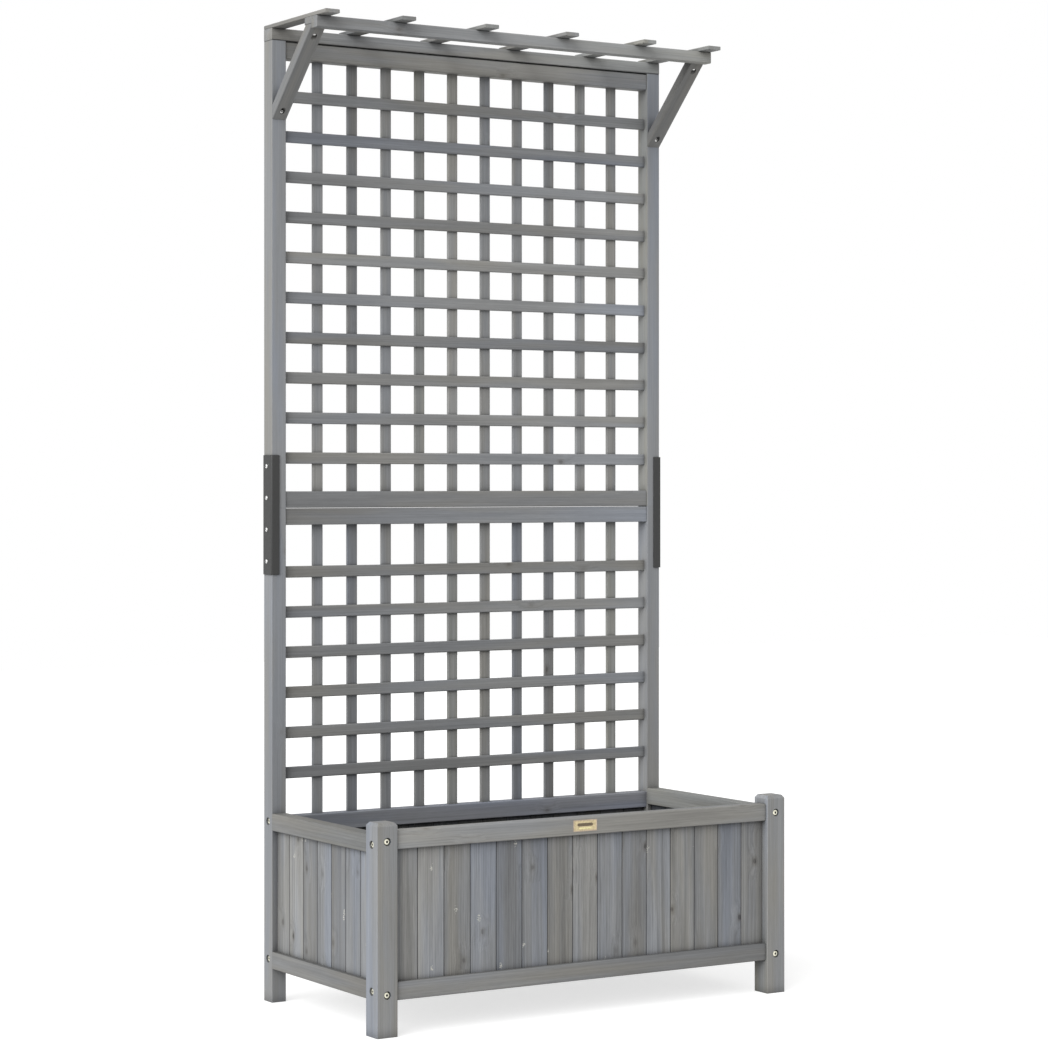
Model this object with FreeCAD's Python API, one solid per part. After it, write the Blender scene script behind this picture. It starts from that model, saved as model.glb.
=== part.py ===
import FreeCAD, Part
import math
import os

V = FreeCAD.Vector

# A planter box on four feet with a tall lattice behind it and a small open roof on top.
# Millimetres. X runs left to right, Y from the front to the back, Z up.
# The origin is on the ground, under the middle of the whole piece.

# ---- Driving dimensions -------------------------------------------------------------

# Plan
planter_width = 860.0  # over the outer faces of the front legs
planter_depth = 432.0  # front of the legs to the back of the posts

# Front legs
leg_section = 40.0
leg_height = 364.0
leg_bevel_in = 4.5
leg_bevel_drop = 6.0
leg_edge_ease = 1.0
leg_stand_out = 5.0  # the legs stand this far outside the posts and the rails

# Rear posts, each in two lengths that butt at the splice
post_width = 28.5
post_depth = 32.0
post_top_level = 1742.0
splice_level = 894.0
post_edge_ease = 0.8

# Planter rails
rail_thickness = 28.5
rail_height = 31.0
rail_edge_ease = 1.1
bottom_rail_level = 61.0  # underside
front_top_rail_drop = 15.2  # top of the legs to the top of the rail
side_top_rail_drop = 22.3
back_top_rail_drop = 28.9

# Tongue-and-groove boards
board_face_width = 52.7
board_thickness = 8.0
board_inset = 20.0  # outer face of the legs to the middle of the boards
board_seat = 5.0  # how far a board reaches into legs, posts and rails
board_gap = 0.3
board_joint_bevel = 0.9
tongue_length = 4.0
tongue_thickness = 2.6
groove_clearance = 0.2  # on each side of a board or tongue
seat_clearance = 0.5  # beyond a board's or a slat's end

# Floor
bearer_section = 18.0
floor_slat_width = 52.0
floor_slat_thickness = 8.0
floor_slat_gap = 8.0
floor_end_clearance = 0.5

# Trellis rails
trellis_rail_inset = 2.5  # behind the front of the posts, and before their back
edge_rail_height = 30.3
meeting_rail_height = 30.0
meeting_rail_gap = 1.0
roof_gap = 2.5  # between the top rail and the rear beam

# Trellis slats
slat_width = 21.0
slat_thickness = 6.0
slat_edge_ease = 1.4
slat_seat = 6.0  # how far an upright reaches into a rail
cross_pitch = 73.0
upper_cross_drop = 67.1  # top rail's underside to the middle of the first cross slat
lower_cross_drop = 85.6  # the same below the lower panel's top rail
upright_pitch = 71.75

# Roof
beam_height = 21.0
front_beam_thickness = 21.5
front_beam_reach = 174.0  # front of the posts to the front of the front beam
beam_edge_ease = 1.1
ledger_depth = 25.5
ledger_height = 13.0
rafter_thickness = 7.0
rafter_width = 28.5
rafter_overhang = 31.0  # past the front beam
rafter_edge_ease = 0.9
inner_rafters = 4
inner_rafter_pitch = 173.0
inner_rafter_shift = 3.0  # the inner rafters stand a little to the right

# Braces
brace_thickness = 18.5
brace_width = 28.5
brace_foot_drop = 144.5  # top of the post to the brace's lowest point
brace_nose = 3.8  # short upright cut against the front beam
brace_edge_ease = 0.9

# Splice brackets
bracket_height = 216.5
bracket_drop = 12.0  # middle of the bracket below the splice
bracket_steel = 2.5
bracket_side_flange = 32.5
bracket_front_flange = 16.5
bracket_bend_radius = 3.0
bracket_inner_radius = 0.5
bracket_screw_count = 4
bracket_screw_pitch = 57.5
bracket_screw_rise = 2.0  # middle of the screw row above the middle of the bracket

# Corner bolts. Two cross in each leg and post, so they are staggered.
bolt_shank = 4.5
bolt_length = 58.0
bolt_head = 12.0
bolt_head_height = 3.4
bolt_socket = 4.0
bolt_socket_depth = 1.8
bolt_recess = 14.0
bolt_recess_depth = 5.0
upper_bolt_drop = 34.8  # top of the legs to the middle of the upper pair
lower_bolt_rise = 13.6  # underside of the bottom rails to the middle of the lower pair
bolt_stagger = 5.5

# Wood screws
screw_shank = 3.6
screw_head = 8.0
screw_head_height = 2.0
bracket_screw_length = 20.0
brace_screw_length = 24.0
brace_screw_recess = 10.5
brace_foot_screw_rise = 14.1  # above the brace's lowest point
brace_foot_screw_cover = 8.0  # wood left between its head and the post
brace_head_screw_reach = 135.3  # before the front of the posts
brace_head_screw_cover = 14.5  # wood left between its head and the ledger
rafter_screw_length = 24.0
post_top_screw_length = 60.0
countersink_depth = 2.6
bore_clearance = 0.1  # around every shank
head_sides = 16  # flats that stand for a round head or recess
shank_sides = 8  # flats that stand for a round shank or its hole

# ---- Derived places -----------------------------------------------------------------

half_width = planter_width / 2
half_depth = planter_depth / 2
frame_left = -half_width + leg_stand_out
post_inner = frame_left + post_width
leg_inner = -half_width + leg_section
leg_back = -half_depth + leg_section
post_front = half_depth - post_depth
post_middle_x = frame_left + post_width / 2
post_middle_y = half_depth - post_depth / 2
leg_middle_x = -half_width + leg_section / 2
leg_middle_y = -half_depth + leg_section / 2

side_rail_inner = frame_left + rail_thickness
front_rail_front = -half_depth + leg_stand_out
front_rail_back = front_rail_front + rail_thickness
side_board_x = -half_width + board_inset
front_board_y = -half_depth + board_inset
back_board_y = post_middle_y
groove_depth = board_seat + seat_clearance
groove_width = board_thickness + 2 * groove_clearance
bottom_rail_top = bottom_rail_level + rail_height
front_top_rail_level = leg_height - front_top_rail_drop - rail_height
side_top_rail_level = leg_height - side_top_rail_drop - rail_height

trellis_front = post_front + trellis_rail_inset
trellis_back = half_depth - trellis_rail_inset
slat_plane = post_middle_y  # cross slats lie before it, uprights behind it
back_top_rail_top = leg_height - back_top_rail_drop
back_top_rail_level = back_top_rail_top - edge_rail_height
lower_meeting_top = splice_level - meeting_rail_gap / 2
lower_meeting_level = lower_meeting_top - meeting_rail_height
upper_meeting_level = splice_level + meeting_rail_gap / 2
upper_meeting_top = upper_meeting_level + meeting_rail_height
top_rail_top = post_top_level - roof_gap
top_rail_level = top_rail_top - edge_rail_height

beam_top = post_top_level + beam_height
front_beam_front = post_front - front_beam_reach
front_beam_back = front_beam_front + front_beam_thickness
ledger_back = front_beam_back + ledger_depth
ledger_level = beam_top - ledger_height
rafter_tip = front_beam_front - rafter_overhang
rafter_top = beam_top + rafter_thickness

brace_foot = post_top_level - brace_foot_drop
brace_run = post_front - front_beam_back
brace_rise = ledger_level - brace_nose - brace_foot
brace_slope = brace_rise / brace_run
brace_upright_thickness = brace_thickness * math.sqrt(1 + brace_slope ** 2)

upper_bolt_level = leg_height - upper_bolt_drop
lower_bolt_level = bottom_rail_level + lower_bolt_rise
forward_bolt_levels = (upper_bolt_level + bolt_stagger / 2, lower_bolt_level - bolt_stagger / 2)
sideways_bolt_levels = (upper_bolt_level - bolt_stagger / 2, lower_bolt_level + bolt_stagger / 2)
far = 4 * leg_section  # cutters run this far past a face

LEFT_TO_RIGHT = V(1, 0, 0)
FRONT_TO_BACK = V(0, 1, 0)
BACK_TO_FRONT = V(0, -1, 0)
UP = V(0, 0, 1)
DOWN = V(0, 0, -1)

nodes = {}


# ---- Helpers ------------------------------------------------------------------------

def block(x_range, y_range, z_range):
    """A plain box between two values on each axis."""
    size = [high - low for low, high in (x_range, y_range, z_range)]
    return Part.makeBox(*size, V(x_range[0], y_range[0], z_range[0]))


def eased(solid, grain, ease):
    """Take the arris off the edges of a bar that run along its grain."""
    edges = [edge for edge in solid.Edges if abs(edge.tangentAt(edge.FirstParameter).dot(grain)) > 0.999]
    return solid.makeChamfer(ease, edges)


def bar(x_range, y_range, z_range, grain, ease):
    return eased(block(x_range, y_range, z_range), grain, ease)


def mirrored(shape):
    """The right-hand twin of a left-hand piece."""
    return shape.mirror(V(0, 0, 0), LEFT_TO_RIGHT)


def both_sides(name, shape):
    nodes[name + "_left"] = shape
    nodes[name + "_right"] = mirrored(shape)


def drilled(solid, cutters):
    for cutter in cutters:
        solid = solid.cut(cutter)
    return solid


def flat_face(points):
    return Part.Face(Part.makePolygon(points + points[:1]))


def prism(points, direction):
    """Extrude a closed outline of points."""
    return flat_face(points).extrude(direction)


def aimed(shape, seat, direction):
    """Point a fastener made along +Z in the given direction, with its head seated at seat."""
    placed = shape.copy()
    placed.Placement = FreeCAD.Placement(seat, FreeCAD.Rotation(UP, direction))
    return placed


# ---- Fasteners ----------------------------------------------------------------------

def ring(width, level, sides):
    """Points around the Z axis on a circle of the given width."""
    angles = [math.radians(360 * (index + 0.5) / sides) for index in range(sides)]
    return [V(width / 2 * math.cos(angle), width / 2 * math.sin(angle), level) for angle in angles]


def turned(start_width, start, end_width, end, sides):
    """A straight or tapered round length along Z, its curve drawn with flats."""
    lower = ring(start_width, start, sides)
    upper = ring(end_width, end, sides)
    faces = [flat_face(lower[::-1]), flat_face(upper)]
    for index in range(sides):
        near = index - 1
        faces.append(flat_face([lower[near], lower[index], upper[index], upper[near]]))
    return Part.Solid(Part.Shell(faces))


def headed(head_width, head_height, shank, length):
    """A fastener along +Z: its head lies below the seat at zero, and its shank above."""
    rim = head_height * 0.45
    point = shank * 0.8
    parts = [
        turned(head_width * 0.72, -head_height, head_width, -rim, head_sides),
        turned(head_width, -rim, head_width, 0, head_sides),
        turned(shank, 0, shank, length - point, shank_sides),
        turned(shank, length - point, shank * 0.3, length, shank_sides),
    ]
    return parts[0].fuse(parts[1:])


def corner_bolt():
    body = headed(bolt_head, bolt_head_height, bolt_shank, bolt_length)
    socket = bolt_socket * 2 / math.sqrt(3)
    return body.cut(turned(socket, -2 * bolt_head_height, socket, bolt_socket_depth - bolt_head_height, 6))


def pan_screw(length):
    return headed(screw_head, screw_head_height, screw_shank, length)


def flat_screw(length):
    """A countersunk screw along +Z, its flat head's top at the seat."""
    point = length - screw_shank
    parts = [
        turned(screw_head, 0, screw_shank, countersink_depth, shank_sides),
        turned(screw_shank, countersink_depth, screw_shank, point, shank_sides),
        turned(screw_shank, point, screw_shank * 0.3, length, shank_sides),
    ]
    return parts[0].fuse(parts[1:])


def bore(shank, length, recess, seat, direction):
    """The hole for a fastener: its shank, and a round recess from the head outwards."""
    width = shank + 2 * bore_clearance
    shank_hole = turned(width, 0, width, length + bore_clearance, shank_sides)
    mouth = turned(recess, -far, recess, 0, head_sides)
    return aimed(shank_hole.fuse(mouth), seat, direction)


def countersunk_bore(length, seat):
    """The hole for a countersunk screw that goes straight down."""
    clear = 2 * bore_clearance
    cone = turned(screw_head + clear, 0, screw_shank + clear, countersink_depth, shank_sides)
    hole = turned(screw_shank + clear, countersink_depth, screw_shank + clear, length, shank_sides)
    return aimed(cone.fuse(hole), seat, DOWN)


def leg_bolt_seats():
    """Seats and directions of the four bolts in the left front leg."""
    seats = []
    for level in forward_bolt_levels:
        seats.append((V(leg_middle_x, -half_depth + bolt_recess_depth, level), FRONT_TO_BACK))
    for level in sideways_bolt_levels:
        seats.append((V(-half_width + bolt_recess_depth, leg_middle_y, level), LEFT_TO_RIGHT))
    return seats


def post_bolt_seats():
    """Seats and directions of the four bolts in the left rear post."""
    seats = []
    for level in forward_bolt_levels:
        seats.append((V(post_middle_x, half_depth - bolt_recess_depth, level), BACK_TO_FRONT))
    for level in sideways_bolt_levels:
        seats.append((V(frame_left + bolt_recess_depth, post_middle_y, level), LEFT_TO_RIGHT))
    return seats


def bolt_bores(seats):
    return [bore(bolt_shank, bolt_length, bolt_recess, seat, direction) for seat, direction in seats]


def bracket_screw_seats():
    middle = splice_level - bracket_drop + bracket_screw_rise
    first = middle - bracket_screw_pitch * (bracket_screw_count - 1) / 2
    levels = [first + bracket_screw_pitch * index for index in range(bracket_screw_count)]
    return [(V(frame_left - bracket_steel, post_middle_y, level), LEFT_TO_RIGHT) for level in levels]


def bracket_screw_bores():
    seats = bracket_screw_seats()
    return [bore(screw_shank, bracket_screw_length, screw_head, seat, way) for seat, way in seats]


def brace_screw_seats():
    foot = V(post_middle_x, post_front - brace_foot_screw_cover, brace_foot + brace_foot_screw_rise)
    head = V(post_middle_x, post_front - brace_head_screw_reach, ledger_level - brace_head_screw_cover)
    return [(foot, FRONT_TO_BACK), (head, UP)]


def brace_screw_bores():
    seats = brace_screw_seats()
    return [bore(screw_shank, brace_screw_length, brace_screw_recess, seat, way) for seat, way in seats]


def rafter_middles():
    """Middle of each rafter along X: the outer two end flush with the beams."""
    outer = half_width - leg_stand_out - rafter_width / 2
    first = inner_rafter_shift - inner_rafter_pitch * (inner_rafters - 1) / 2
    inner = [first + inner_rafter_pitch * index for index in range(inner_rafters)]
    return [-outer] + inner + [outer]


def rafter_screw_seats():
    """Seats of the short screws: every rafter to the front beam, the inner ones to the rear beam."""
    middles = rafter_middles()
    front = [V(x, front_beam_front + front_beam_thickness / 2, rafter_top) for x in middles]
    rear = [V(x, post_middle_y, rafter_top) for x in middles[1:-1]]
    return front + rear


def post_top_screw_seats():
    """Seats of the long screws: the outer rafters and the rear beam to the posts."""
    middles = rafter_middles()
    return [V(x, post_middle_y, rafter_top) for x in (middles[0], middles[-1])]


def roof_bores():
    short = [countersunk_bore(rafter_screw_length, seat) for seat in rafter_screw_seats()]
    long = [countersunk_bore(post_top_screw_length, seat) for seat in post_top_screw_seats()]
    return short + long


# ---- Legs and posts -----------------------------------------------------------------

def top_bevels():
    """Four wedges that slope the top edges of the left leg."""
    half = leg_section / 2
    outline = [
        V(half - leg_bevel_in, -leg_section, leg_height),
        V(half, -leg_section, leg_height - leg_bevel_drop),
        V(leg_section, -leg_section, leg_height - leg_bevel_drop),
        V(leg_section, -leg_section, leg_height),
    ]
    wedge = prism(outline, V(0, 2 * leg_section, 0))
    wedges = []
    for quarter in range(4):
        side = wedge.copy()
        side.rotate(V(0, 0, 0), UP, 90 * quarter)
        side.translate(V(leg_middle_x, leg_middle_y, 0))
        wedges.append(side)
    return wedges


def groove_levels(top_rail_level):
    """Bottom and top of a board groove between two rails."""
    return (bottom_rail_top - groove_depth, top_rail_level + groove_depth)


def across(middle):
    """Both faces of a board groove about its middle."""
    return (middle - groove_width / 2, middle + groove_width / 2)


def front_leg():
    outer_x = (-half_width, leg_inner)
    outer_y = (-half_depth, leg_back)
    leg = bar(outer_x, outer_y, (0, leg_height), UP, leg_edge_ease)
    front_levels = groove_levels(front_top_rail_level)
    side_levels = groove_levels(side_top_rail_level)
    front_groove = block((leg_inner - groove_depth, leg_inner + far), across(front_board_y), front_levels)
    side_groove = block(across(side_board_x), (leg_back - groove_depth, leg_back + far), side_levels)
    return drilled(leg, top_bevels() + [front_groove, side_groove] + bolt_bores(leg_bolt_seats()))


def rear_post_lower():
    post = bar((frame_left, post_inner), (post_front, half_depth), (0, splice_level), UP, post_edge_ease)
    side_levels = groove_levels(side_top_rail_level)
    back_levels = groove_levels(back_top_rail_level)
    side_groove = block(across(side_board_x), (post_front - far, post_front + groove_depth), side_levels)
    back_groove = block((post_inner - groove_depth, post_inner + far), across(back_board_y), back_levels)
    cutters = [side_groove, back_groove] + bolt_bores(post_bolt_seats()) + bracket_screw_bores()
    return drilled(post, cutters)


def rear_post_upper():
    levels = (splice_level, post_top_level)
    post = bar((frame_left, post_inner), (post_front, half_depth), levels, UP, post_edge_ease)
    return drilled(post, bracket_screw_bores() + brace_screw_bores()[:1] + roof_bores()[-2:])


# ---- Planter rails ------------------------------------------------------------------

def board_groove_x(top_or_bottom, middle_y, length):
    """A groove along X in a rail's face: its Z range, its middle and its X range."""
    return block(length, across(middle_y), top_or_bottom)


def front_rail(level, groove_range):
    length = (leg_inner, -leg_inner)
    depth = (front_rail_front, front_rail_back)
    rail = bar(length, depth, (level, level + rail_height), LEFT_TO_RIGHT, rail_edge_ease)
    bores = bolt_bores(leg_bolt_seats())
    mirrored_bores = [mirrored(cutter) for cutter in bores]
    groove = board_groove_x(groove_range, front_board_y, length)
    return drilled(rail, [groove] + bores + mirrored_bores)


def side_rail(level, groove_range):
    length = (leg_back, post_front)
    rail = bar(
        (frame_left, side_rail_inner), length, (level, level + rail_height), FRONT_TO_BACK, rail_edge_ease
    )
    groove = block(across(side_board_x), length, groove_range)
    return drilled(rail, [groove] + bolt_bores(leg_bolt_seats()) + bolt_bores(post_bolt_seats()))


def back_rail(level, height):
    """A rail between the rear posts, a little thinner than they are deep."""
    length = (post_inner, -post_inner)
    depth = (trellis_front, trellis_back)
    return bar(length, depth, (level, level + height), LEFT_TO_RIGHT, rail_edge_ease)


def back_bolt_bores():
    bores = bolt_bores(post_bolt_seats())
    return bores + [mirrored(cutter) for cutter in bores]


def back_bottom_rail():
    groove_range = (bottom_rail_top - groove_depth, bottom_rail_top + far)
    groove = board_groove_x(groove_range, back_board_y, (post_inner, -post_inner))
    return drilled(back_rail(bottom_rail_level, rail_height), [groove] + back_bolt_bores())


def make_planter_rails():
    lower_groove = (bottom_rail_top - groove_depth, bottom_rail_top + far)
    front_groove = (front_top_rail_level - far, front_top_rail_level + groove_depth)
    side_groove = (side_top_rail_level - far, side_top_rail_level + groove_depth)
    nodes["front_top_rail"] = front_rail(front_top_rail_level, front_groove)
    nodes["front_bottom_rail"] = front_rail(bottom_rail_level, lower_groove)
    both_sides("side_top_rail", side_rail(side_top_rail_level, side_groove))
    both_sides("side_bottom_rail", side_rail(bottom_rail_level, lower_groove))
    nodes["back_bottom_rail"] = back_bottom_rail()


# ---- Boards and floor ---------------------------------------------------------------

def board_outline(start, end, has_groove, has_tongue):
    """Plan of one board: start and end along the row, and offsets inwards across its thickness."""
    face = board_thickness / 2
    bevel = board_joint_bevel
    tongue = tongue_thickness / 2
    slot = tongue + groove_clearance
    slot_end = start + tongue_length + board_gap + seat_clearance
    points = [(start + bevel, -face), (end - bevel, -face), (end, -face + bevel)]
    if has_tongue:
        tip = end + tongue_length
        points += [(end, -tongue), (tip, -tongue), (tip, tongue), (end, tongue)]
    points += [(end, face), (start, face)]
    if has_groove:
        points += [(start, slot), (slot_end, slot), (slot_end, -slot), (start, -slot)]
    points.append((start, -face + bevel))
    return points


def board_row(start, end, top_rail_level, place):
    """A row of boards from start to end that stand in the bottom rail's groove."""
    bottom = bottom_rail_top - groove_depth
    height = top_rail_level + board_seat - bottom
    count = max(2, round((end - start) / board_face_width))
    pitch = (end - start) / count
    boards = []
    for index in range(count):
        first = index == 0
        last = index == count - 1
        near = start + index * pitch + (0 if first else board_gap / 2)
        far_edge = start + (index + 1) * pitch - (0 if last else board_gap / 2)
        outline = board_outline(near, far_edge, not first, not last)
        points = [place(along, offset, bottom) for along, offset in outline]
        boards.append(prism(points, V(0, 0, height)))
    return Part.makeCompound(boards)


def make_boards():
    def front_place(along, offset, level):
        return V(along, front_board_y + offset, level)

    def side_place(along, offset, level):
        return V(side_board_x + offset, along, level)

    def back_place(along, offset, level):
        return V(along, back_board_y - offset, level)

    front_end = -leg_inner + board_seat
    back_end = -post_inner + board_seat
    side = board_row(leg_back - board_seat, post_front + board_seat, side_top_rail_level, side_place)
    nodes["front_boards"] = board_row(-front_end, front_end, front_top_rail_level, front_place)
    both_sides("side_boards", side)
    nodes["back_boards"] = board_row(-back_end, back_end, back_top_rail_level, back_place)


def make_floor():
    bearer_levels = (bottom_rail_level, bottom_rail_level + bearer_section)
    front_range = (front_rail_back, front_rail_back + bearer_section)
    back_range = (trellis_front - bearer_section, trellis_front)
    nodes["front_floor_bearer"] = block((leg_inner, -leg_inner), front_range, bearer_levels)
    nodes["back_floor_bearer"] = block((post_inner, -post_inner), back_range, bearer_levels)
    slat_levels = (bearer_levels[1], bearer_levels[1] + floor_slat_thickness)
    depth = (front_rail_back + floor_end_clearance, trellis_front - floor_end_clearance)
    pitch = floor_slat_width + floor_slat_gap
    room = -2 * leg_inner
    count = int((room + floor_slat_gap) / pitch)
    first = -(count * pitch - floor_slat_gap) / 2
    slats = []
    for index in range(count):
        left = first + index * pitch
        slats.append(block((left, left + floor_slat_width), depth, slat_levels))
    nodes["floor_slats"] = Part.makeCompound(slats)


# ---- Trellis ------------------------------------------------------------------------

def upright_middles():
    """Middles of the upright slats along X, spread evenly about the middle."""
    count = int(-2 * post_inner / upright_pitch) - 1
    return [upright_pitch * (index - (count - 1) / 2) for index in range(count)]


def upright_seats(level, end):
    """Mortises for the uprights: end is +1 in a rail's top face and -1 in its underside."""
    depth = slat_seat + seat_clearance
    z_range = (level - depth, level + far) if end > 0 else (level - far, level + depth)
    y_range = (slat_plane - groove_clearance, slat_plane + slat_thickness + groove_clearance)
    half = slat_width / 2 + groove_clearance
    return [block((x - half, x + half), y_range, z_range) for x in upright_middles()]


def uprights(bottom, top):
    y_range = (slat_plane, slat_plane + slat_thickness)
    z_range = (bottom - slat_seat, top + slat_seat)
    half = slat_width / 2
    slats = [bar((x - half, x + half), y_range, z_range, UP, slat_edge_ease) for x in upright_middles()]
    return Part.makeCompound(slats)


def cross_levels(top, bottom, first_drop):
    """Middles of the cross slats, counted down from the rail above."""
    room = top - bottom - first_drop - slat_width
    count = int(room / cross_pitch) + 1
    return [top - first_drop - cross_pitch * index for index in range(count)]


def make_cross_slats(prefix, levels):
    x_range = (post_inner, -post_inner)
    y_range = (slat_plane - slat_thickness, slat_plane)
    for number, level in enumerate(levels, 1):
        z_range = (level - slat_width / 2, level + slat_width / 2)
        name = f"{prefix}_{number:02d}"
        nodes[name] = bar(x_range, y_range, z_range, LEFT_TO_RIGHT, slat_edge_ease)


def back_top_rail():
    """The lower panel's bottom rail, which also holds the tops of the back boards."""
    groove_range = (back_top_rail_level - far, back_top_rail_level + groove_depth)
    groove = board_groove_x(groove_range, back_board_y, (post_inner, -post_inner))
    cutters = [groove] + upright_seats(back_top_rail_top, 1) + back_bolt_bores()
    return drilled(back_rail(back_top_rail_level, edge_rail_height), cutters)


def make_trellis():
    lower_meeting = back_rail(lower_meeting_level, meeting_rail_height)
    upper_meeting = back_rail(upper_meeting_level, meeting_rail_height)
    top_rail = back_rail(top_rail_level, edge_rail_height)
    nodes["back_top_rail"] = back_top_rail()
    nodes["lower_trellis_top_rail"] = drilled(lower_meeting, upright_seats(lower_meeting_level, -1))
    nodes["upper_trellis_bottom_rail"] = drilled(upper_meeting, upright_seats(upper_meeting_top, 1))
    nodes["upper_trellis_top_rail"] = drilled(top_rail, upright_seats(top_rail_level, -1))
    nodes["lower_upright_slats"] = uprights(back_top_rail_top, lower_meeting_level)
    nodes["upper_upright_slats"] = uprights(upper_meeting_top, top_rail_level)
    lower_levels = cross_levels(lower_meeting_level, back_top_rail_top, lower_cross_drop)
    upper_levels = cross_levels(top_rail_level, upper_meeting_top, upper_cross_drop)
    make_cross_slats("lower_cross_slat", lower_levels)
    make_cross_slats("upper_cross_slat", upper_levels)


# ---- Splice brackets ----------------------------------------------------------------

def splice_bracket():
    """A bent steel angle over the outer side and part of the front of the left post."""
    outer_x = frame_left - bracket_steel
    outer_y = post_front - bracket_steel
    side_end = outer_y + bracket_side_flange
    front_end = outer_x + bracket_front_flange
    outer_r = bracket_bend_radius
    inner_r = bracket_inner_radius
    bottom = splice_level - bracket_drop - bracket_height / 2

    def at(x, y):
        return V(x, y, bottom)

    def bend(x, y, radius):
        """A quarter round from the side flange to the front flange, its corner at x, y."""
        middle = radius * (1 - math.sqrt(0.5))
        return Part.Arc(at(x, y + radius), at(x + middle, y + middle), at(x + radius, y)).toShape()

    outline = [
        Part.makeLine(at(outer_x, side_end), at(outer_x, outer_y + outer_r)),
        bend(outer_x, outer_y, outer_r),
        Part.makeLine(at(outer_x + outer_r, outer_y), at(front_end, outer_y)),
        Part.makeLine(at(front_end, outer_y), at(front_end, post_front)),
        Part.makeLine(at(front_end, post_front), at(frame_left + inner_r, post_front)),
        bend(frame_left, post_front, inner_r),
        Part.makeLine(at(frame_left, post_front + inner_r), at(frame_left, side_end)),
        Part.makeLine(at(frame_left, side_end), at(outer_x, side_end)),
    ]
    angle = Part.Face(Part.Wire(outline)).extrude(V(0, 0, bracket_height))
    return drilled(angle, bracket_screw_bores())


# ---- Roof ---------------------------------------------------------------------------

def make_beams():
    length = (frame_left, -frame_left)
    levels = (post_top_level, beam_top)
    rear = bar(length, (post_front, half_depth), levels, LEFT_TO_RIGHT, beam_edge_ease)
    front = bar(length, (front_beam_front, front_beam_back), levels, LEFT_TO_RIGHT, beam_edge_ease)
    ledger = block(length, (front_beam_back, ledger_back), (ledger_level, beam_top))
    brace_bores = brace_screw_bores()[1:]
    mirrored_bores = [mirrored(cutter) for cutter in brace_bores]
    nodes["rear_beam"] = drilled(rear, roof_bores())
    nodes["front_beam"] = drilled(front, roof_bores())
    nodes["roof_ledger"] = drilled(ledger, brace_bores + mirrored_bores)


def make_rafters():
    y_range = (rafter_tip, half_depth)
    z_range = (beam_top, rafter_top)
    for number, middle in enumerate(rafter_middles(), 1):
        x_range = (middle - rafter_width / 2, middle + rafter_width / 2)
        rafter = bar(x_range, y_range, z_range, FRONT_TO_BACK, rafter_edge_ease)
        nodes[f"rafter_{number}"] = drilled(rafter, roof_bores())


def brace():
    """A sloping board from the left post's front to the ledger and the front beam."""
    top_end = front_beam_back + (ledger_level - (brace_foot + brace_upright_thickness + brace_rise)) / -brace_slope
    outline = [
        (post_front, brace_foot),
        (front_beam_back, ledger_level - brace_nose),
        (front_beam_back, ledger_level),
        (top_end, ledger_level),
        (post_front, brace_foot + brace_upright_thickness),
    ]
    left = post_middle_x - brace_width / 2
    board = prism([V(left, y, z) for y, z in outline], V(brace_width, 0, 0))
    grain = V(0, -brace_run, brace_rise).normalize()
    return drilled(eased(board, grain, brace_edge_ease), brace_screw_bores())


# ---- Fastener groups ----------------------------------------------------------------

def group(fastener, seats):
    return [aimed(fastener, seat, direction) for seat, direction in seats]


def with_twins(solids):
    return Part.makeCompound(solids + [mirrored(solid) for solid in solids])


def make_fasteners():
    short_seats = [(seat, DOWN) for seat in rafter_screw_seats()]
    long_seats = [(seat, DOWN) for seat in post_top_screw_seats()]
    nodes["corner_bolts"] = with_twins(group(corner_bolt(), leg_bolt_seats() + post_bolt_seats()))
    nodes["bracket_screws"] = with_twins(group(pan_screw(bracket_screw_length), bracket_screw_seats()))
    nodes["brace_screws"] = with_twins(group(pan_screw(brace_screw_length), brace_screw_seats()))
    nodes["rafter_screws"] = Part.makeCompound(group(flat_screw(rafter_screw_length), short_seats))
    nodes["post_top_screws"] = Part.makeCompound(group(flat_screw(post_top_screw_length), long_seats))


# ---- The whole piece ----------------------------------------------------------------

both_sides("front_leg", front_leg())
both_sides("rear_post_lower", rear_post_lower())
both_sides("rear_post_upper", rear_post_upper())
make_planter_rails()
make_boards()
make_floor()
make_trellis()
both_sides("splice_bracket", splice_bracket())
make_beams()
make_rafters()
both_sides("brace", brace())
make_fasteners()

os.makedirs("parts", exist_ok=True)
for name, shape in nodes.items():
    shape.exportStep(f"parts/{name}.step")
print(len(nodes), "nodes,", sum(len(shape.Solids) for shape in nodes.values()), "solids")
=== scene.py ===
import math
from collections import namedtuple

import bmesh
import bpy
from mathutils import Matrix, Vector


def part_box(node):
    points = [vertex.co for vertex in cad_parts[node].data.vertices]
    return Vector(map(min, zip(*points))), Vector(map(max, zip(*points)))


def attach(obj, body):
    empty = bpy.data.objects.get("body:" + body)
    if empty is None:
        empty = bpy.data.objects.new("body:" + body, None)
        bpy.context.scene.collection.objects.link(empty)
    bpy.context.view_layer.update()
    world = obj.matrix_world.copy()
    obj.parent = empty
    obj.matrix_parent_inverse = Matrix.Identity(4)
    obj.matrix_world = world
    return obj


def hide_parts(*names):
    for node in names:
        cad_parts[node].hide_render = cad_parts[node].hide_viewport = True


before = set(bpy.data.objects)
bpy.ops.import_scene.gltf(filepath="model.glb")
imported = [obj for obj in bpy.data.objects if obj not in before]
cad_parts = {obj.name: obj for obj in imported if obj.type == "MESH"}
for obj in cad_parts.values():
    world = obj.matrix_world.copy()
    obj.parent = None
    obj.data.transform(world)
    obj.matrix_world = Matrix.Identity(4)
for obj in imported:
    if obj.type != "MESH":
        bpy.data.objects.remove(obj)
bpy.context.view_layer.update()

ALONG_X = (1, 0, 0)
ALONG_Y = (0, 1, 0)
ALONG_Z = (0, 0, 1)
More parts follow.
